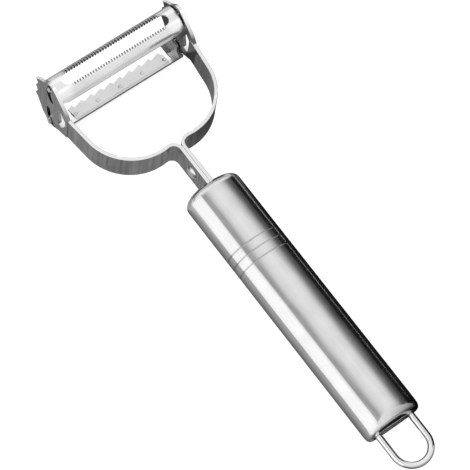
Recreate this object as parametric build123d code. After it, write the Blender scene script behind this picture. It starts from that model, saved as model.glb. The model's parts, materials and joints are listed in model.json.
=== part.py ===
from build123d import *
import os
from math import asin, atan2, cos, degrees, radians, sin, sqrt

os.makedirs("parts", exist_ok=True)

# Handle, a tube of oval section with both ends drawn in; all lengths in mm,
# and places along the peeler are counted from the rear end of the handle
handle_length = 101.2
handle_width = 21.0
handle_height = 15.4
handle_wall = 0.9
side_curve_share = 0.92
nose_face_width_share = 0.325
nose_face_height_share = 0.286
nose_side_depth = 3.8
nose_top_depth = 4.2
tail_face_width_share = 0.876
tail_side_depth = 2.2
tail_top_depth = 4.9
end_squareness = 2.3
end_steps = 9
groove_centre_shares = (0.746, 0.713, 0.679)
groove_width = 0.9
groove_depth = 0.35
groove_lip = 0.25

# Rear cap, set a little way into the mouth of the tube, with a web all round the wire
wire_diameter = 2.3
cap_web = 0.43
cap_margin = 0.5
cap_width = handle_width * tail_face_width_share - 2 * cap_margin
cap_height = wire_diameter + 2 * cap_web
tail_face_height = cap_height + 2 * cap_margin
cap_thickness = 2.2
cap_recess = 0.35
cap_edge_break = 0.3

# Hanging loop, one bent wire
leg_spacing_share = 0.753
loop_leg_spacing = cap_width * leg_spacing_share
loop_reach = 15.1
loop_tail = 11.4

# Yoke, two bent strips laid back to back in the neck
ear_span = 52.8
strip_thickness = 1.2
strip_width_share = 0.753
strip_width = handle_height * strip_width_share
tang_depth = 18.0
neck_length = 14.1
yoke_depth_share = 0.547
yoke_depth = ear_span * yoke_depth_share
neck_end = handle_length + neck_length
neck_bend_share = 0.0606
neck_bend_radius = ear_span * neck_bend_share
neck_bend_angle = 97.0
flare_angle = 6.3
flare_bend_radius = 6.0
ear_lap = 3.0
ear_lap_straight = 0.5
strip_edge_break = 0.15

# Neck rivet, half way along the neck
rivet_from_rear = handle_length + neck_length / 2
rivet_shank_diameter = 3.0
rivet_head_diameter = 5.0
rivet_head_height = 1.2

# Ears, the flat cheeks at the end of each strip; places on an ear are shares
# of its depth from the back and of its height from the bottom
ear_back = neck_end + yoke_depth
ear_depth = 18.3
ear_height = 26.6
ear_drop_share = 0.406
ear_bottom = -ear_height * ear_drop_share
lower_edge_shares = (
    (0.00, 0.188), (0.06, 0.162), (0.31, 0.075), (0.41, 0.022), (0.50, 0.0),
    (0.63, 0.022), (0.75, 0.090), (0.84, 0.190), (0.915, 0.285),
)
scaler_shares = (
    (0.915, 0.285), (1.0, 0.357), (0.925, 0.440), (1.0, 0.553),
    (0.925, 0.640), (1.0, 0.744), (0.926, 0.767), (0.893, 0.812),
)
upper_edge_shares = (
    (0.893, 0.812), (0.825, 0.835), (0.754, 0.876), (0.683, 0.940), (0.601, 0.992),
    (0.541, 1.0), (0.448, 0.966), (0.317, 0.891), (0.208, 0.820), (0.098, 0.737), (0.00, 0.624),
)
eye_hole_shares = (
    (0.265, 0.672), (0.315, 0.500), (0.262, 0.285), (0.160, 0.262), (0.066, 0.429), (0.080, 0.530),
)
eye_hole_corner = 0.45

# Bowed slots in the ears that let the blades rock: top, middle and foot of each
slot_width = 2.2
peeler_slot_shares = ((0.574, 0.910), (0.601, 0.782), (0.514, 0.632))
julienne_slot_shares = ((0.585, 0.338), (0.568, 0.2105), (0.486, 0.083))

# Lugs on the blade ends, which ride in those slots
lug_length = 3.0
lug_thickness = 1.3
peeler_lug_inset = 1.7
julienne_lug_inset = 1.1
peeler_lug_stand_out = 0.1
julienne_lug_stand_out = 1.0

# Peeler blade, a half round of sheet with a toothed slot along its crown
blade_sheet = 0.7
blade_end_clearance = 0.4
blade_length = ear_span - 2 * (strip_thickness + blade_end_clearance)
pipe_radius = 5.2
pipe_place_shares = (0.574, 0.707)
pipe_skirt = 1.0
pipe_corner_radius = 4.0
peel_slot_share = 0.867
peel_slot_width = 4.3
serration_count = 36
serration_run_share = 0.766
near_serration_depth = 0.85
far_serration_depth = 1.35
serration_mouth_share = 0.56
serration_root_share = 0.30
pipe_cheek_drop = 4.6
pipe_cheek_half_share = 0.96

# Julienne blade, a shallow tray of sheet with a wide slot; the rim is placed on
# the ear, and the rest is counted from the rim
tray_rim_shares = (0.2104, 0.1376)
tray_hem_height = 1.5
tray_slope_run = 4.05
tray_slope_drop = 1.66
tray_slot_width = 4.6
tray_floor_run = 1.0
tray_lip_run = 1.3
tray_lip_rise = 1.9
tray_end_land = 3.8
tray_slot_corner = 1.0
relief_width = 1.8
relief_from_rim = 1.35
tray_cheek_from_rim = 3.05
tray_cheek_width = 6.0
tray_cheek_height = 3.5
tray_cheek_corner = 1.2

# Julienne tooth strip, welded on the near side of the tray
tooth_strip_sheet = 0.5
tooth_strip_from_rim = 0.75
tooth_count = 9
tooth_lead = 2.0
tooth_trail = 0.67
tooth_overhang = 2.3
tooth_depth = 1.4
tooth_back_share = 0.2
weld_count = 5
weld_pitch_share = 0.24
weld_radius = 1.5
weld_dip = 0.15
weld_from_rim = 2.85


def on_section(distance):
    return Plane(origin=(0, distance, 0), x_dir=(1, 0, 0), z_dir=(0, 1, 0))


def on_side(distance):
    return Plane(origin=(distance, 0, 0), x_dir=(0, 1, 0), z_dir=(1, 0, 0))


def oval(width, height):
    # four tangent arcs: tight ones at the sides, slack ones above and below
    a = width / 2
    b = height / 2
    tight = b * side_curve_share
    slack = ((a - tight) ** 2 + b ** 2 - tight ** 2) / (2 * (b - tight))
    ux = (a - tight) / (slack - tight)
    uy = (slack - b) / (slack - tight)
    tx = a - tight + tight * ux
    ty = tight * uy
    return make_face([
        ThreePointArc((tx, -ty), (a, 0), (tx, ty)),
        ThreePointArc((tx, ty), (0, b), (-tx, ty)),
        ThreePointArc((-tx, ty), (-a, 0), (-tx, -ty)),
        ThreePointArc((-tx, -ty), (0, -b), (tx, -ty)),
    ])


def opened(depth, reach):
    # share of the full size that a drawn-in end has gained at this reach
    left = 1 - min(reach / depth, 1)
    return max(1 - left ** end_squareness, 0) ** (1 / end_squareness)


def end_sections(face_y, inward, face_size, depths, inset):
    full = (handle_width - 2 * inset, handle_height - 2 * inset)
    sections = []
    for step in range(end_steps + 1):
        reach = max(depths) * (1 - cos(radians(90 * step / end_steps)))
        size = []
        for i in (0, 1):
            small = min(face_size[i], full[i])
            size.append(small + (full[i] - small) * opened(depths[i], reach))
        sections.append(on_section(face_y + inward * reach) * oval(*size))
    return sections


def tube_form(inset):
    tail_face = (handle_width * tail_face_width_share - inset, tail_face_height - inset)
    tail_depths = (tail_side_depth, tail_top_depth)
    nose_face = (handle_height * nose_face_width_share, handle_height * nose_face_height_share)
    nose_depths = (nose_side_depth, nose_top_depth)
    tail = end_sections(inset, 1, tail_face, tail_depths, inset)
    nose = end_sections(handle_length - inset, -1, nose_face, nose_depths, inset)
    straight = handle_length - 2 * inset - max(tail_depths) - max(nose_depths)
    full = oval(handle_width - 2 * inset, handle_height - 2 * inset)
    middle = extrude(on_section(inset + max(tail_depths)) * full, straight)
    return loft(tail) + middle + loft(list(reversed(nose)))


def groove_ring(centre):
    # what a V groove takes from the tube, a little wider than the tube itself
    lip = 2 * groove_lip
    rise = 2 * (groove_depth + groove_lip)
    rim = oval(handle_width + lip, handle_height + lip)
    wide = oval(handle_width + lip + rise, handle_height + lip + rise)
    floor_face = on_section(centre) * oval(
        handle_width - 2 * groove_depth, handle_height - 2 * groove_depth)
    ring = extrude(on_section(centre) * rim, groove_width, both=True)
    back = loft([on_section(centre - groove_width) * wide, floor_face], ruled=True)
    front = loft([floor_face, on_section(centre + groove_width) * wide], ruled=True)
    return ring - back - front


def ribbon(start, moves, half):
    # a band of even width that follows straight runs and bends from a start heading +Y
    x, y = start
    heading = 0
    edges = [Line((x - half, y), (x + half, y))]
    for radius, amount in moves:
        n = (cos(radians(heading)), -sin(radians(heading)))
        if radius == 0:
            x2 = x + amount * sin(radians(heading))
            y2 = y + amount * cos(radians(heading))
            for side in (-half, half):
                edges.append(Line(
                    (x + n[0] * side, y + n[1] * side),
                    (x2 + n[0] * side, y2 + n[1] * side)))
            x, y = x2, y2
            continue
        turn = 1 if amount > 0 else -1
        cx = x + n[0] * radius * turn
        cy = y + n[1] * radius * turn
        stops = []
        for share in (0, 1 / 2, 1):
            angle = radians(heading + amount * share)
            stops.append((cos(angle), -sin(angle)))
        for side in (-half, half):
            arm = radius * turn - side
            edges.append(ThreePointArc(*[
                (cx - m[0] * arm, cy - m[1] * arm) for m in stops]))
        heading += amount
        x = cx - stops[2][0] * radius * turn
        y = cy - stops[2][1] * radius * turn
    n = (cos(radians(heading)), -sin(radians(heading)))
    edges.append(Line((x - n[0] * half, y - n[1] * half), (x + n[0] * half, y + n[1] * half)))
    return make_face(edges)


def ear_point(share):
    return (ear_back + share[0] * ear_depth, ear_bottom + share[1] * ear_height)


def slot_tool(shares):
    outline = SlotArc(ThreePointArc(*[ear_point(s) for s in shares]), slot_width)
    return extrude(on_side(0) * outline, ear_span)


def lug_bar(shares, from_top, inset, stand_out):
    # a lug with rounded sides in one end of an ear slot, and its centre, the blade's pivot
    bow = ThreePointArc(*[ear_point(s) for s in shares])
    share = inset / bow.length
    spot = share if from_top else 1 - share
    centre = bow @ spot
    along = bow % spot
    lean = degrees(atan2(along.Y, along.X))
    outline = Pos(centre.X, centre.Y) * Rot(0, 0, lean) * SlotOverall(lug_length, lug_thickness)
    start = blade_length / 2 - blade_sheet
    bar = extrude(on_side(start) * outline, ear_span / 2 + stand_out - start)
    return bar, (centre.X, centre.Y)


def both_sides(shape):
    return shape + mirror(shape, about=Plane.YZ)


def make_handle_shell():
    shell = tube_form(0) - tube_form(handle_wall)
    for share in groove_centre_shares:
        shell -= groove_ring(handle_length * share)
    shell -= extrude(on_section(0) * oval(cap_width, cap_height), 2 * handle_wall)
    neck_slot = Box(2 * strip_thickness, 2 * nose_top_depth, strip_width)
    return shell - Pos(0, handle_length, 0) * neck_slot


def make_rear_cap():
    cap = extrude(on_section(cap_recess) * oval(cap_width, cap_height), cap_thickness)
    cap = chamfer(cap.faces().sort_by(Axis.Y)[0].edges(), cap_edge_break)
    for side in (-1, 1):
        leg = Pos(side * loop_leg_spacing / 2, 0) * Circle(wire_diameter / 2)
        cap -= extrude(on_section(0) * leg, 2 * cap_thickness)
    return cap


def make_hanging_loop():
    half = loop_leg_spacing / 2
    turn_y = half - loop_reach
    path = Wire([
        Line((-half, loop_tail, 0), (-half, turn_y, 0)),
        ThreePointArc((-half, turn_y, 0), (0, -loop_reach, 0), (half, turn_y, 0)),
        Line((half, turn_y, 0), (half, loop_tail, 0)),
    ])
    start = Plane(origin=(-half, loop_tail, 0), x_dir=(1, 0, 0), z_dir=(0, -1, 0))
    return sweep(start * Circle(wire_diameter / 2), path=path)


def shoulder_and_flare(half):
    # the shoulder's radius and the flare's length that bring the strip to the ear's line and back
    bend = radians(neck_bend_angle)
    flare = radians(flare_angle)
    out = ear_span / 2 - 2 * half - neck_bend_radius * (1 - cos(bend))
    out -= flare_bend_radius * (1 - cos(flare))
    along = yoke_depth + ear_lap - ear_lap_straight
    along -= neck_bend_radius * sin(bend) + flare_bend_radius * sin(flare)
    turn_out = cos(flare) - cos(bend)
    turn_along = sin(bend) - sin(flare)
    size = turn_out * cos(flare) - turn_along * sin(flare)
    radius = (out * cos(flare) - along * sin(flare)) / size
    return radius, (along * turn_out - out * turn_along) / size


def make_right_strip():
    half = strip_thickness / 2
    start = (half, handle_length - tang_depth)
    radius, flare = shoulder_and_flare(half)
    plan = ribbon(start, [
        (0, neck_end - start[1]),
        (neck_bend_radius, neck_bend_angle),
        (radius, flare_angle - neck_bend_angle),
        (0, flare),
        (flare_bend_radius, -flare_angle),
        (0, ear_lap_straight),
    ], half)
    strip = extrude(plan, strip_width / 2, both=True)
    rims = strip.edges().filter_by(
        lambda e: abs(e.center().Z) > strip_width / 2 - strip_edge_break
        and e.center().Y < ear_back - ear_lap)
    return chamfer(rims, strip_edge_break)


def make_right_ear():
    pieces = [
        Spline(*[ear_point(s) for s in lower_edge_shares]),
        Polyline(*[ear_point(s) for s in scaler_shares]),
        Spline(*[ear_point(s) for s in upper_edge_shares]),
        Line(ear_point(upper_edge_shares[-1]), ear_point(lower_edge_shares[0])),
    ]
    outline = make_face([e for piece in pieces for e in piece.edges()])
    hole = make_face(Polyline(*[ear_point(s) for s in eye_hole_shares], close=True).edges())
    hole = fillet(hole.vertices(), eye_hole_corner)
    inner = on_side(ear_span / 2 - strip_thickness)
    return extrude(inner * outline, strip_thickness), extrude(inner * hole, strip_thickness)


def make_right_arm():
    ear, eye_hole = make_right_ear()
    arm = make_right_strip() + ear - eye_hole
    arm -= slot_tool(peeler_slot_shares)
    arm -= slot_tool(julienne_slot_shares)
    hole = Pos(rivet_from_rear, 0) * Circle(rivet_shank_diameter / 2)
    return arm - extrude(on_side(0) * hole, 2 * strip_thickness)


def make_rivet():
    head = rivet_head_diameter / 2
    shank = rivet_shank_diameter / 2
    crown = strip_thickness + rivet_head_height
    dome = (head ** 2 + rivet_head_height ** 2) / (2 * rivet_head_height)
    middle = asin(head / dome) / 2
    bulge = (crown - dome + dome * cos(middle), dome * sin(middle))
    profile = make_face([
        Line((-crown, 0), (crown, 0)),
        ThreePointArc((crown, 0), bulge, (strip_thickness, head)),
        Line((strip_thickness, head), (strip_thickness, shank)),
        Line((strip_thickness, shank), (-strip_thickness, shank)),
        Line((-strip_thickness, shank), (-strip_thickness, head)),
        ThreePointArc((-strip_thickness, head), (-bulge[0], bulge[1]), (-crown, 0)),
    ])
    return Pos(0, rivet_from_rear, 0) * revolve(profile, Axis.X)


def make_peeler_blade():
    centre_y, centre_z = ear_point(pipe_place_shares)
    wall = Circle(pipe_radius) - Circle(pipe_radius - blade_sheet)
    half_pipe = wall & (Pos(0, pipe_radius) * Rectangle(2 * pipe_radius, 2 * pipe_radius))
    for side in (-1, 1):
        place = Pos(side * (pipe_radius - blade_sheet / 2), -pipe_skirt / 2)
        half_pipe += place * Rectangle(blade_sheet, pipe_skirt)
    centre = Pos(centre_y, centre_z)
    blade = extrude(Plane.YZ * (centre * half_pipe), blade_length / 2, both=True)
    tall = 2 * (pipe_radius + pipe_skirt)
    from_side = Pos(0, centre_z - pipe_skirt + tall / 2) * RectangleRounded(
        blade_length, tall, pipe_corner_radius)
    blade = blade & extrude(Plane.XZ * from_side, -centre_y - 2 * pipe_radius)
    cheek_round = Circle(pipe_radius - blade_sheet / 2) & (
        Pos(0, pipe_radius - pipe_cheek_drop / 2)
        * Rectangle(2 * pipe_radius * pipe_cheek_half_share, pipe_cheek_drop))
    cheek = extrude(on_side(blade_length / 2 - blade_sheet) * (centre * cheek_round), blade_sheet)
    lug, pivot = lug_bar(peeler_slot_shares, True, peeler_lug_inset, peeler_lug_stand_out)
    blade += both_sides(cheek + lug)
    base = Plane(origin=(0, centre_y, centre_z))
    return blade - extrude(base * toothed_slot(), 2 * pipe_radius), pivot


def toothed_slot():
    pitch = blade_length * serration_run_share / serration_count
    mouth = pitch * serration_mouth_share / 2
    root = pitch * serration_root_share / 2
    edge = peel_slot_width / 2
    opening = SlotOverall(blade_length * peel_slot_share, peel_slot_width)
    for side, depth in ((-1, near_serration_depth), (1, far_serration_depth)):
        bite = make_face(Polyline(
            (-mouth, 0), (-root, side * depth), (root, side * depth),
            (mouth, 0), (mouth, -side * depth), (-mouth, -side * depth), close=True).edges())
        for i in range(serration_count):
            along = (i - (serration_count - 1) / 2) * pitch
            opening += Pos(along, side * edge) * bite
    return opening


def make_julienne_blade():
    y, z = ear_point(tray_rim_shares)
    near = y + tray_slope_run
    far = near + tray_slot_width
    fold = far + tray_floor_run
    top = z - tray_slope_drop
    slope = tray_slope_drop / tray_slope_run
    sheet = blade_sheet
    section = make_face(Polyline(
        (y, z), (near, top), (fold - sheet, top),
        (fold + tray_lip_run - sheet, top - sheet + tray_lip_rise),
        (fold + tray_lip_run, top - sheet + tray_lip_rise),
        (fold, top - sheet), (near, top - sheet), (y + sheet, z - sheet - slope * sheet),
        (y + sheet, z - tray_hem_height), (y, z - tray_hem_height), close=True).edges())
    tray = extrude(Plane.YZ * section, blade_length / 2, both=True)
    half = blade_length / 2 - tray_end_land
    middle = (near + far) / 2
    opening = Pos(0, middle) * RectangleRounded(2 * half, tray_slot_width, tray_slot_corner)
    relief_long = middle - y - relief_from_rim
    for side in (-1, 1):
        place = Pos(side * (half - relief_width / 2), middle - relief_long / 2)
        opening += place * Rot(0, 0, 90) * SlotOverall(relief_long, relief_width)
    tray -= extrude(Plane(origin=(0, 0, ear_bottom)) * opening, ear_height)
    cheek_middle = y + tray_cheek_from_rim + tray_cheek_width / 2
    cheek_face = Pos(cheek_middle, top + tray_cheek_height - tray_cheek_width / 2) * (
        RectangleRounded(tray_cheek_width, tray_cheek_width, tray_cheek_corner))
    above = Pos(cheek_middle, top + tray_cheek_height / 2)
    cheek_face = cheek_face & (above * Rectangle(tray_cheek_width, tray_cheek_height))
    cheek = extrude(on_side(blade_length / 2 - sheet) * cheek_face, sheet)
    lug, pivot = lug_bar(
        julienne_slot_shares, False, julienne_lug_inset, julienne_lug_stand_out)
    return tray + both_sides(cheek + lug), pivot


def make_tooth_strip():
    y, z = ear_point(tray_rim_shares)
    half = blade_length / 2 - tray_end_land - relief_width
    near = y + tooth_strip_from_rim
    peak = near + tray_slope_run - tooth_strip_from_rim + tooth_overhang
    valley = peak - tooth_depth
    pitch = (2 * half - tooth_lead - tooth_trail) / tooth_count
    plan = [(-half, near), (-half, peak - tooth_depth / 2)]
    for i in range(tooth_count + 1):
        peak_x = tooth_lead - half + i * pitch
        plan.append((peak_x, peak))
        plan.append((peak_x + tooth_depth * tooth_back_share, valley))
    plan += [(half, valley), (half, near)]
    teeth = extrude(
        Plane(origin=(0, 0, ear_bottom)) * make_face(Polyline(*plan, close=True).edges()),
        ear_height)
    slope = tray_slope_drop / tray_slope_run
    thick = tooth_strip_sheet * sqrt(1 + slope ** 2)
    near_z = z - slope * tooth_strip_from_rim
    peak_z = z - slope * (peak - y)
    slab = make_face(Polyline(
        (near, near_z), (peak, peak_z), (peak, peak_z + thick), (near, near_z + thick),
        close=True).edges())
    strip = extrude(Plane.YZ * slab, blade_length / 2, both=True) & teeth
    weld_z = z - slope * weld_from_rim + thick + weld_radius - weld_dip
    for i in range(weld_count):
        along = (i - (weld_count - 1) / 2) * 2 * half * weld_pitch_share
        strip -= Pos(along, y + weld_from_rim, weld_z) * Sphere(weld_radius)
    return strip


# The frame's origin is the middle of the plan, at the lowest point
loop_end = loop_reach + wire_diameter / 2
middle_y = (ear_back + ear_depth - loop_end) / 2
to_base = Pos(0, -middle_y, -ear_bottom)

right_arm = make_right_arm()
peeler, peeler_pivot = make_peeler_blade()
julienne, julienne_pivot = make_julienne_blade()
solids = {
    "handle_shell": make_handle_shell(),
    "rear_cap": make_rear_cap(),
    "hanging_loop": make_hanging_loop(),
    "left_arm": mirror(right_arm, about=Plane.YZ),
    "right_arm": right_arm,
    "neck_rivet": make_rivet(),
    "peeler_blade": peeler,
    "julienne_blade": julienne,
    "julienne_teeth": make_tooth_strip(),
}
for name, shape in solids.items():
    placed = to_base * shape
    export_step(placed, "parts/" + name + ".step")
    box = placed.bounding_box()
    print(name, len(placed.solids()), placed.is_valid, tuple(box.min), tuple(box.max))
for name, pivot in {"peeler": peeler_pivot, "julienne": julienne_pivot}.items():
    print(name, "pivot", pivot[0] - middle_y, pivot[1] - ear_bottom)
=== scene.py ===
import json
import math

import bpy
from mathutils import Matrix, Vector


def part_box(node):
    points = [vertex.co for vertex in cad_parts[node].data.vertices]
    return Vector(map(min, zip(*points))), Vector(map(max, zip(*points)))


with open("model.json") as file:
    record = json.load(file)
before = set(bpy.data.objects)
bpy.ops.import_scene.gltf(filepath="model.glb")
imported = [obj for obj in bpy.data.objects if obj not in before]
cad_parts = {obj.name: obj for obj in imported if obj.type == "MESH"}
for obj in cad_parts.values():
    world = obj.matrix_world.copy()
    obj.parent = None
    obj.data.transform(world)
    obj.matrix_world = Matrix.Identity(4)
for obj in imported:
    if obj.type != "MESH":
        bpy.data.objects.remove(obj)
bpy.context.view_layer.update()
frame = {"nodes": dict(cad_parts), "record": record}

# Camera, fitted to the photograph: its place and clip in metres, lens and sensor in millimetres
camera_place = Vector((-0.246758, -0.216672, 0.760416))
camera_right = Vector((0.8012055, -0.59269678, 0.08234241))
camera_up = Vector((0.5192046, 0.75697872, 0.39674903))
camera_back = Vector((-0.29748332, -0.27512494, 0.91422642))
camera_lens = 191.49
camera_sensor = 36.0
camera_clip = 0.01

# Places on the handle that its material uses for painted shade, in metres: the painted shade on
# the tail is full from its end to 1.5 mm in and gone at tail_start, and tail_turn is where it
# deepens from left to right
handle_low, handle_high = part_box("handle_shell")
nose_start = handle_high.y - 0.0042
tail_start = handle_low.y + 0.0049
tail_shade_full = handle_low.y + 0.0015
tail_turn = (-0.002, 0.0075)
groove_middles = [handle_low.y + along for along in (0.0755, 0.07216, 0.06872)]
groove_edge = (0.0002, 0.0005)

# Places on the blades and the ears, in metres
blade_low, blade_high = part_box("peeler_blade")
pipe_middle = (blade_low.y + blade_high.y) / 2
near_teeth = (-0.0030, -0.0019)
far_teeth = (0.0019, 0.0036)
tooth_pitch = 0.0010554
tooth_run = 0.0190
tooth_run_edge = 0.0002
blade_end_run = 0.002
saw_roots = (0.0765, 0.0775)
end_land = 0.0205
end_land_edge = 0.0005
slot_depth = (0.0788, 0.0833)
slot_height = (0.0010, 0.0253)
right_strip = (0.002, 0.008)
mask_edge = 0.0001

# Bands in which a mask goes from one side to the other: of a tooth's phase, counted from the
# middle of a gap, and of how far a surface looks along an axis
tip_band = (0.24, 0.30)
saw_edge_band = (0.2, 0.35)
cut_edge_band = (0.55, 0.75)
slot_wall_band = (0.4, 0.6)

# Painted light and shade by place, as factors of a material's own tone
nose_painted_shade = 0.45
tail_painted_shades = (0.96, 0.22)
groove_painted_shade = 0.86
near_tooth_painted_shade = 0.75
far_tooth_painted_shade = 0.97
blade_end_painted_light = 1.17
saw_edge_painted_shade = 0.15
end_land_painted_shade = 0.6
slot_wall_painted_shade = 0.08
right_strip_painted_shade = 0.52

# Looks that all steel shares: the band that holds most of a noise's values, heights in metres
noise_band = (0.3, 0.7)
fine_share = 0.6
coarse_scale = 0.23
grain_height = 0.00002
wave_height = 0.0006
wave_scale = 70.0
wave_stretch = (1, 0.35, 1)
steel_tint = (1.0, 1.0, 1.005)
pure_white = (1.0, 1.0, 1.0, 1.0)


class Nodes:
    """The node tree of a material or of the world, with short ways to add and join nodes."""

    def __init__(self, owner):
        owner.use_nodes = True
        self.owner = owner
        self.tree = owner.node_tree
        self.tree.nodes.clear()

    def add(self, kind, values=None, **settings):
        """Adds a node with its settings, and with values for its inputs by their names."""
        node = self.tree.nodes.new(kind)
        for key, value in settings.items():
            setattr(node, key, value)
        for key, value in (values or {}).items():
            node.inputs[key].default_value = value
        return node

    def join(self, source, target):
        self.tree.links.new(source, target)

    def math(self, operation, first, second=None):
        """Works on numbers and on outputs of nodes; some operations take one of them."""
        node = self.add("ShaderNodeMath", operation=operation)
        for socket, value in zip(node.inputs, (first, second)):
            if isinstance(value, (int, float)):
                socket.default_value = value
            elif value is not None:
                self.join(value, socket)
        return node.outputs[0]

    def product(self, first, *others):
        for other in others:
            first = self.math("MULTIPLY", first, other)
        return first

    def blend(self, start, end, share):
        """Goes from a start to an end as a share goes from 0 to 1."""
        change = self.math("SUBTRACT", end, start)
        return self.math("ADD", start, self.product(change, share))

    def ramp(self, value, low, high, out_low, out_high):
        """Goes evenly from one output to the other between two limits of a value."""
        node = self.add("ShaderNodeMapRange", {
            "From Min": low, "From Max": high, "To Min": out_low, "To Max": out_high})
        self.join(value, node.inputs["Value"])
        return node.outputs[0]

    def between(self, value, low, high):
        """1 where a value lies between two limits, 0 elsewhere."""
        return self.product(
            self.ramp(value, low - mask_edge, low + mask_edge, 0.0, 1.0),
            self.ramp(value, high - mask_edge, high + mask_edge, 1.0, 0.0))

    def size_of(self, value):
        return self.math("ABSOLUTE", value)

    def axes(self, output):
        """X, Y and Z of a texture coordinate, such as Object or Normal."""
        split = self.add("ShaderNodeSeparateXYZ")
        self.join(self.add("ShaderNodeTexCoord").outputs[output], split.inputs[0])
        return split.outputs

    def noise(self, scale, stretch=(1, 1, 1), detail=3.0, rough=0.5, turn=(0, 0, 0)):
        mapping = self.add("ShaderNodeMapping", {"Scale": stretch, "Rotation": turn})
        self.join(self.add("ShaderNodeTexCoord").outputs["Object"], mapping.inputs["Vector"])
        node = self.add("ShaderNodeTexNoise", {
            "Scale": scale, "Detail": detail, "Roughness": rough})
        self.join(mapping.outputs[0], node.inputs["Vector"])
        return node.outputs["Fac"]

    def bump(self, height, strength, distance, under=None):
        """A normal that follows a height, over the normal of a broader bump."""
        node = self.add("ShaderNodeBump", {"Strength": strength, "Distance": distance})
        self.join(height, node.inputs["Height"])
        if under is not None:
            self.join(under, node.inputs["Normal"])
        return node.outputs[0]

    def graded(self, value, low, high, stops):
        """A tone that goes through stops of (value, tone) between two limits."""
        ramp = self.add("ShaderNodeValToRGB")
        elements = ramp.color_ramp.elements
        while len(elements) > 1:
            elements.remove(elements[-1])
        for i, (at, tone) in enumerate(stops):
            spot = (at - low) / (high - low)
            element = elements[0] if i == 0 else elements.new(spot)
            element.position = spot
            element.color = (tone, tone, tone, 1.0)
        self.join(self.ramp(value, low, high, 0.0, 1.0), ramp.inputs[0])
        return ramp.outputs[0]

    def show(self, shader, output="ShaderNodeOutputMaterial"):
        """Joins the finished shader to the output, and gives back the material or world."""
        self.join(shader.outputs[0], self.add(output).inputs["Surface"])
        return self.owner

    def show_metal(self, tone, rough, normal):
        """Finishes a material as bare metal of a faintly cool grey."""
        shader = self.add("ShaderNodeBsdfPrincipled", {"Metallic": 1.0})
        grey = self.add("ShaderNodeCombineColor")
        for socket, share in zip(grey.inputs, steel_tint):
            self.join(self.product(tone, share), socket)
        self.join(grey.outputs[0], shader.inputs["Base Color"])
        self.join(rough, shader.inputs["Roughness"])
        self.join(normal, shader.inputs["Normal"])
        return self.show(shader)


def around(middle, spread):
    return middle - spread, middle + spread


def steel(name, tone, spread, roughness, rough_spread, grain, grain_scale, bump,
          blotch_scale=90.0, blotch=0.05, shade=None, wave=0.0):
    """Bare steel: a directional grain in tone, roughness and height over broad soft blotches.
    A shade is a function that gives a factor for the tone from the node tree, painting light and
    shade into it, and a wave is the strength of broad unevenness in the surface."""
    n = Nodes(bpy.data.materials.new(name))
    fine = n.noise(grain_scale, grain, detail=4.0, rough=0.6)
    coarse = n.noise(grain_scale * coarse_scale, grain, detail=2.0)
    blotches = n.noise(blotch_scale, detail=3.0)
    streaks = n.math("ADD", n.product(fine, fine_share), n.product(coarse, 1.0 - fine_share))
    value = n.math("ADD", n.ramp(streaks, *noise_band, *around(tone, spread)),
                   n.ramp(blotches, *noise_band, *around(0.0, blotch)))
    if shade:
        value = n.product(value, shade(n))
    rough = n.math("ADD", n.ramp(streaks, *noise_band, *around(roughness, rough_spread)),
                   n.ramp(blotches, *noise_band, *around(0.0, rough_spread / 2)))
    under = None
    if wave:
        under = n.bump(n.noise(wave_scale, wave_stretch, detail=2.0), wave, wave_height)
    return n.show_metal(value, rough, n.bump(streaks, bump, grain_height, under))


def blade_painted_light(n):
    """Painted shade on the tips of the teeth along both edges of the peeler blade's slot, and
    painted light on the plain ends past the teeth."""
    place = n.axes("Object")
    out_y = n.math("SUBTRACT", place["Y"], pipe_middle)
    phase = n.math("FRACT", n.math("DIVIDE", place["X"], tooth_pitch))
    from_gap = n.size_of(n.math("SUBTRACT", phase, 0.5))
    from_middle = n.size_of(place["X"])
    tip = n.product(n.ramp(from_gap, *tip_band, 0.0, 1.0),
                    n.ramp(from_middle, tooth_run - tooth_run_edge, tooth_run, 1.0, 0.0))
    loss = n.math("ADD", n.product(n.between(out_y, *near_teeth), near_tooth_painted_shade),
                  n.product(n.between(out_y, *far_teeth), far_tooth_painted_shade))
    ends = n.ramp(from_middle, tooth_run, tooth_run + blade_end_run, 1.0, blade_end_painted_light)
    return n.product(ends, n.math("SUBTRACT", 1.0, n.product(tip, loss)))


def handle_painted_shade(n):
    """Painted shade on the handle where its ends are drawn in, most at the tail's right, and in
    the bottom of its three grooves."""
    place = n.axes("Object")
    nose = n.ramp(place["Y"], nose_start, handle_high.y, 1.0, nose_painted_shade)
    on_tail = n.ramp(place["Y"], tail_shade_full, tail_start, 1.0, 0.0)
    tail = n.ramp(place["X"], *tail_turn, *tail_painted_shades)
    shade = n.product(nose, n.blend(1.0, tail, on_tail))
    for middle in groove_middles:
        away = n.size_of(n.math("SUBTRACT", place["Y"], middle))
        shade = n.product(shade, n.ramp(away, *groove_edge, groove_painted_shade, 1.0))
    return shade


def tray_painted_shade(n):
    """Painted shade on the tray's flat land past the slot's right end."""
    return n.ramp(n.axes("Object")["X"], end_land - end_land_edge, end_land, 1.0, end_land_painted_shade)


def saw_painted_shade(n):
    """Painted shade on the julienne teeth's cut edges, which stand upright."""
    stands = n.ramp(n.size_of(n.axes("Normal")["Z"]), *saw_edge_band, 1.0, 0.0)
    past_roots = n.ramp(n.axes("Object")["Y"], *saw_roots, 0.0, 1.0)
    return n.blend(1.0, saw_edge_painted_shade, n.product(stands, past_roots))


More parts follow.
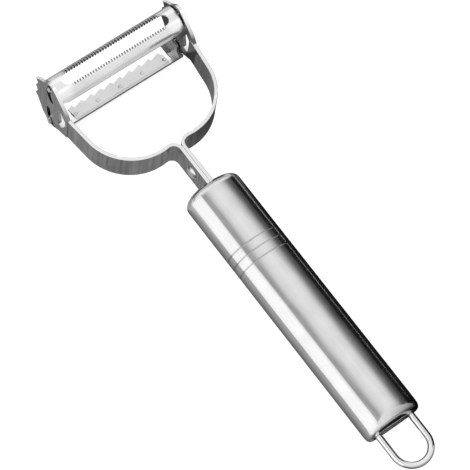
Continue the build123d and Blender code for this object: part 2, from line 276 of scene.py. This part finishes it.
def cut_sheet(name):
    """Sheet steel: a dull rolled face with marks across the strip, brighter cut edges where the
    surface looks up or down, and painted shade on the walls in the slots of the ears. The face
    of the right strip carries painted shade that makes it darker than that of the left one."""
    n = Nodes(bpy.data.materials.new(name))
    face_scale, edge_scale, blotch_scale = 900.0, 1500.0, 120.0
    duller, brighter = 0.06, 0.04
    mark_band, mark_tone, mark_turn = (0.33, 0.42), 0.45, (0.12, 0.0, 0.4)
    blotch, bump = 0.14, 0.45
    looks = []
    for tone, spread, roughness, stretch, scale in (
            (0.34, 0.10, 0.26, (1, 1, 0.04), face_scale),
            (0.98, 0.03, 0.20, (1, 1, 1), edge_scale)):
        streaks = n.noise(scale, stretch, detail=5.0, rough=0.6)
        looks.append([n.ramp(streaks, *noise_band, *around(tone, spread)),
                      n.ramp(streaks, *noise_band, roughness + duller, roughness - brighter),
                      streaks])
    marks = n.noise(face_scale / 2, (1, 1, 0.06), detail=3.0, rough=0.7, turn=mark_turn)
    looks[0][0] = n.product(looks[0][0], n.ramp(marks, *mark_band, mark_tone, 1.0))
    normal = n.axes("Normal")
    is_edge = n.ramp(n.size_of(normal["Z"]), *cut_edge_band, 0.0, 1.0)
    tone, rough, height = [n.blend(face, edge, is_edge) for face, edge in zip(*looks)]
    blotches = n.ramp(n.noise(blotch_scale, detail=4.0), *noise_band, *around(1.0, blotch))
    place = n.axes("Object")
    # Painted shade on the walls inside the ears' slots
    in_slot = n.product(n.between(place["Y"], *slot_depth), n.between(place["Z"], *slot_height),
                        n.ramp(n.size_of(normal["X"]), *slot_wall_band, 1.0, 0.0))
    # Painted shade on the face of the right strip, not on its cut edges
    right = n.ramp(place["X"], *right_strip, 1.0, right_strip_painted_shade)
    tone = n.product(tone, n.blend(blotches, 1.0, is_edge), n.blend(1.0, slot_wall_painted_shade, in_slot),
                     n.blend(right, 1.0, is_edge))
    return n.show_metal(tone, rough, n.bump(height, bump, grain_height))


steels = {
    "brushed_handle": dict(
        tone=0.90, spread=0.04, roughness=0.16, rough_spread=0.03, grain=(1, 0.02, 1),
        grain_scale=2600.0, bump=0.25, blotch_scale=160.0, blotch=0.035, shade=handle_painted_shade,
        wave=0.6),
    "plain_steel": dict(
        tone=0.10, spread=0.02, roughness=0.45, rough_spread=0.06, grain=(1, 1, 1),
        grain_scale=1500.0, bump=0.3),
    "bright_wire": dict(
        tone=0.97, spread=0.02, roughness=0.09, rough_spread=0.02, grain=(1, 0.1, 1),
        grain_scale=2000.0, bump=0.1),
    "rivet_steel": dict(
        tone=0.85, spread=0.03, roughness=0.15, rough_spread=0.04, grain=(1, 1, 1),
        grain_scale=1500.0, bump=0.15),
    "blade_steel": dict(
        tone=0.85, spread=0.03, roughness=0.24, rough_spread=0.04, grain=(0.03, 1, 1),
        grain_scale=2400.0, bump=0.25, shade=blade_painted_light),
    "tray_steel": dict(
        tone=0.98, spread=0.02, roughness=0.22, rough_spread=0.04, grain=(0.05, 1, 1),
        grain_scale=2000.0, bump=0.25, shade=tray_painted_shade),
    "tooth_steel": dict(
        tone=0.84, spread=0.05, roughness=0.30, rough_spread=0.05, grain=(1, 0.4, 1),
        grain_scale=1700.0, bump=0.3, shade=saw_painted_shade),
}
materials = {name: steel(name, **look) for name, look in steels.items()}
materials["strip_steel"] = cut_sheet("strip_steel")
slot_of = {part["node"]: part["material_slot"] for part in frame["record"]["subparts"]}
for node, thing in frame["nodes"].items():
    for slot in thing.material_slots:
        slot.material = materials[slot_of[node]]

# Stage: levels of the floor and of the cards on it, and how far they reach, in metres
floor_level = -0.0004
card_level = floor_level + 0.0002
over_cards = card_level + 0.0001
far_side = 6.0


def on_table(x_range, y_range, level=card_level):
    return [(x, y, level) for x, y in (
        (x_range[0], y_range[0]), (x_range[1], y_range[0]),
        (x_range[1], y_range[1]), (x_range[0], y_range[1]))]


def upright(x_range, y, height):
    return [(x_range[1], y, card_level), (x_range[0], y, card_level),
            (x_range[0], y, height), (x_range[1], y, height)]


def stage_piece(name, corners, material):
    mesh = bpy.data.meshes.new(name)
    mesh.from_pydata(corners, [], [(0, 1, 2, 3)])
    thing = bpy.data.objects.new(name, mesh)
    bpy.context.scene.collection.objects.link(thing)
    mesh.materials.append(material)
    return thing


# Floor: pale, near white to the camera and in reflections, with the object's shadow kept
floor_tone = 0.5
floor_glow = 0.78
n = Nodes(bpy.data.materials.new("floor_white"))
lit = n.add("ShaderNodeBsdfDiffuse", {"Color": (floor_tone, floor_tone, floor_tone, 1.0)})
glow = n.add("ShaderNodeEmission", {"Color": pure_white})
path = n.add("ShaderNodeLightPath")
seen = n.math("MAXIMUM", path.outputs["Is Camera Ray"], path.outputs["Is Glossy Ray"])
seen = n.math("MAXIMUM", seen, path.outputs["Is Transmission Ray"])
n.join(n.product(seen, floor_glow), glow.inputs["Strength"])
both = n.add("ShaderNodeAddShader")
n.join(lit.outputs[0], both.inputs[0])
n.join(glow.outputs[0], both.inputs[1])
floor_span = (-far_side, far_side)
stage_piece("floor", on_table(floor_span, floor_span, floor_level), n.show(both))


# Cards: grey and black boards round the object, which only reflections show
def card(name, corners, axis, stops, back=None):
    """Grades in tone from side to side as the stops of (place in metres, tone) say, and is of
    one even tone on its back where that is given."""
    n = Nodes(bpy.data.materials.new(name))
    tone = n.graded(n.axes("Object")[axis], stops[0][0], stops[-1][0], stops)
    if back is not None:
        tone = n.blend(tone, back, n.add("ShaderNodeNewGeometry").outputs["Backfacing"])
    shader = n.add("ShaderNodeEmission")
    n.join(tone, shader.inputs["Color"])
    thing = stage_piece(name, corners, n.show(shader))
    for rays in ("camera", "diffuse", "shadow", "transmission", "volume_scatter"):
        setattr(thing, "visible_" + rays, False)


left_side = -0.22
left_ear = -0.027
tail_side = -0.40
nose_side = 0.40
head_line = 0.030
throat_line = 0.052
tray_line = 0.069
blade_line = 0.0715
under_blade = (0.0835, 0.0905)
rim_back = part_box("rear_cap")[0].y - 0.0037
rim_strip = (rim_back - 0.0012, rim_back - 0.0004)
card("card_handle", on_table((left_side, far_side), (tail_side, head_line)), "X", [
    (left_side, 0.95), (-0.130, 0.60), (-0.090, 0.36), (-0.068, 0.28), (-0.050, 0.40),
    (-0.036, 0.52), (-0.027, 0.34), (-0.0215, 0.09), (-0.0185, 0.01), (-0.0136, 0.003),
    (0.0, 0.008), (0.012, 0.008), (0.025, 0.006), (0.10, 0.006), (far_side, 0.01)])
card("card_neck", on_table((left_side, far_side), (head_line, throat_line)), "X", [
    (left_side, 0.95), (-0.050, 0.45), (-0.010, 0.42), (0.000, 0.38), (0.004, 0.12),
    (0.02, 0.10), (0.10, 0.012), (far_side, 0.02)])
card("card_throat", on_table((left_side, far_side), (throat_line, blade_line)), "X", [
    (left_side, 0.95), (-0.050, 0.50), (-0.027, 0.44), (0.0, 0.42), (0.022, 0.34),
    (0.060, 0.15), (far_side, 0.02)])
card("card_blades", on_table((left_ear, far_side), (blade_line, nose_side)), "Y", [
    (blade_line, 0.10), (0.085, 0.14), (0.095, 0.20), (0.105, 0.26), (0.135, 0.40),
    (nose_side, 0.50)])
card("card_left_ear", on_table((left_side, left_ear), (blade_line, nose_side)), "X", [
    (left_side, 0.95), (-0.050, 0.50), (left_ear, 0.42)])
card("card_upright", upright((-0.020, 0.036), throat_line, 0.020), "Z", [
    (card_level, 0.66), (0.010, 0.70), (0.020, 0.95)])
card("card_low_upright", upright((-0.024, 0.036), tray_line, 0.013), "Z", [
    (card_level, 0.70), (0.013, 0.70)], back=0.36)
card("card_tail", upright((-0.020, 0.036), -0.0950, 0.190), "Z", [
    (card_level, 0.02), (0.014, 0.34), (0.017, 0.74), (0.030, 0.78), (0.080, 0.82),
    (0.190, 0.86)])
card("card_rim", on_table((-0.010, 0.012), rim_strip, over_cards), "X", [
    (-0.010, 1.0), (0.004, 0.9), (0.012, 0.4)])
card("card_under_blade", on_table((left_ear, 0.014), under_blade, over_cards), "Y", [
    (under_blade[0], 0.85), (under_blade[1], 0.85)])

# World: white behind the object, and for the rest a studio that grades from a white wall on the
# left over a pale ceiling to a black wall on the right; stops are (degrees from up, strength)
wall_span = (-120.0, 120.0)
wall_stops = [
    (-100.0, 0.40), (-93.0, 0.70), (-86.0, 0.98), (-78.0, 1.06), (-40.0, 1.06), (-33.0, 1.0),
    (-27.0, 0.90), (-21.0, 0.45), (-15.5, 0.24), (-9.0, 0.55), (-3.0, 0.74), (6.0, 0.80),
    (16.0, 0.84), (28.0, 0.76), (34.0, 0.63), (40.0, 0.34), (46.0, 0.15), (52.0, 0.072),
    (58.0, 0.030), (64.0, 0.009), (70.0, 0.003), (78.0, 0.005), (92.0, 0.010), (105.0, 0.01)]
# Its end walls, past the handle's nose and tail; stops are (height of the direction, strength)
end_span = (-0.2, 1.0)
end_reach = {"From Min": 0.38, "From Max": 0.55}
nose_stops = [(-0.2, 0.45), (0.0, 0.46), (0.22, 0.46), (0.36, 0.90), (0.60, 0.98), (1.0, 0.90)]
tail_stops = [(-0.2, 0.72), (0.0, 0.84), (0.12, 0.97), (0.28, 0.92), (0.45, 0.90), (0.70, 1.08),
              (1.0, 1.05)]
even_strength = 0.6
world = Nodes(bpy.data.worlds.new("studio"))
bpy.context.scene.world = world.owner
direction = world.axes("Generated")
turn = world.product(world.math("ARCTAN2", direction["X"], direction["Z"]), math.degrees(1.0))
studio = world.graded(turn, *wall_span, wall_stops)
for stops, sign in ((nose_stops, 1.0), (tail_stops, -1.0)):
    reach = world.add("ShaderNodeMapRange", end_reach, interpolation_type="SMOOTHSTEP")
    world.join(world.product(direction["Y"], sign), reach.inputs["Value"])
    mix = world.add("ShaderNodeMix", data_type="RGBA")
    world.join(reach.outputs[0], mix.inputs["Factor"])
    under, over = [socket for socket in mix.inputs if socket.type == "RGBA"]
    world.join(studio, under)
    world.join(world.graded(direction["Z"], *end_span, stops), over)
    studio = [socket for socket in mix.outputs if socket.type == "RGBA"][0]


def mixed(share, first, second):
    node = world.add("ShaderNodeMixShader")
    for source, socket in zip((share, first.outputs[0], second.outputs[0]), node.inputs):
        world.join(source, socket)
    return node


walls = world.add("ShaderNodeBackground")
world.join(studio, walls.inputs["Color"])
white = world.add("ShaderNodeBackground", {"Color": pure_white})
even = world.add("ShaderNodeBackground", {"Color": pure_white, "Strength": even_strength})
rays = world.add("ShaderNodeLightPath").outputs
reflected = mixed(rays["Is Glossy Ray"], even, walls)
direct = world.math("MAXIMUM", rays["Is Camera Ray"], rays["Is Transmission Ray"])
world.show(mixed(direct, reflected, white), "ShaderNodeOutputWorld")

# Softbox over the object, aimed at its middle; sizes in metres, power in watts
softbox_place = Vector((-0.5, 0.1, 0.9))
softbox_side = 0.8
softbox_power = 5.0
lamp = bpy.data.lights.new("overhead_softbox", "AREA")
lamp.shape = "RECTANGLE"
lamp.size = lamp.size_y = softbox_side
lamp.energy = softbox_power
overhead = bpy.data.objects.new("overhead_softbox", lamp)
overhead.location = softbox_place
overhead.rotation_euler = (-softbox_place).to_track_quat("-Z", "Y").to_euler()
overhead.visible_glossy = False
bpy.context.scene.collection.objects.link(overhead)

# Camera
lens = bpy.data.cameras.new("camera")
lens.sensor_width = camera_sensor
lens.lens = camera_lens
lens.clip_start = camera_clip
camera = bpy.data.objects.new("camera", lens)
pose = Matrix((camera_right, camera_up, camera_back)).transposed().to_4x4()
pose.translation = camera_place
camera.matrix_world = pose
bpy.context.scene.collection.objects.link(camera)
bpy.context.scene.camera = camera
bpy.context.scene.view_settings.view_transform = "Standard"
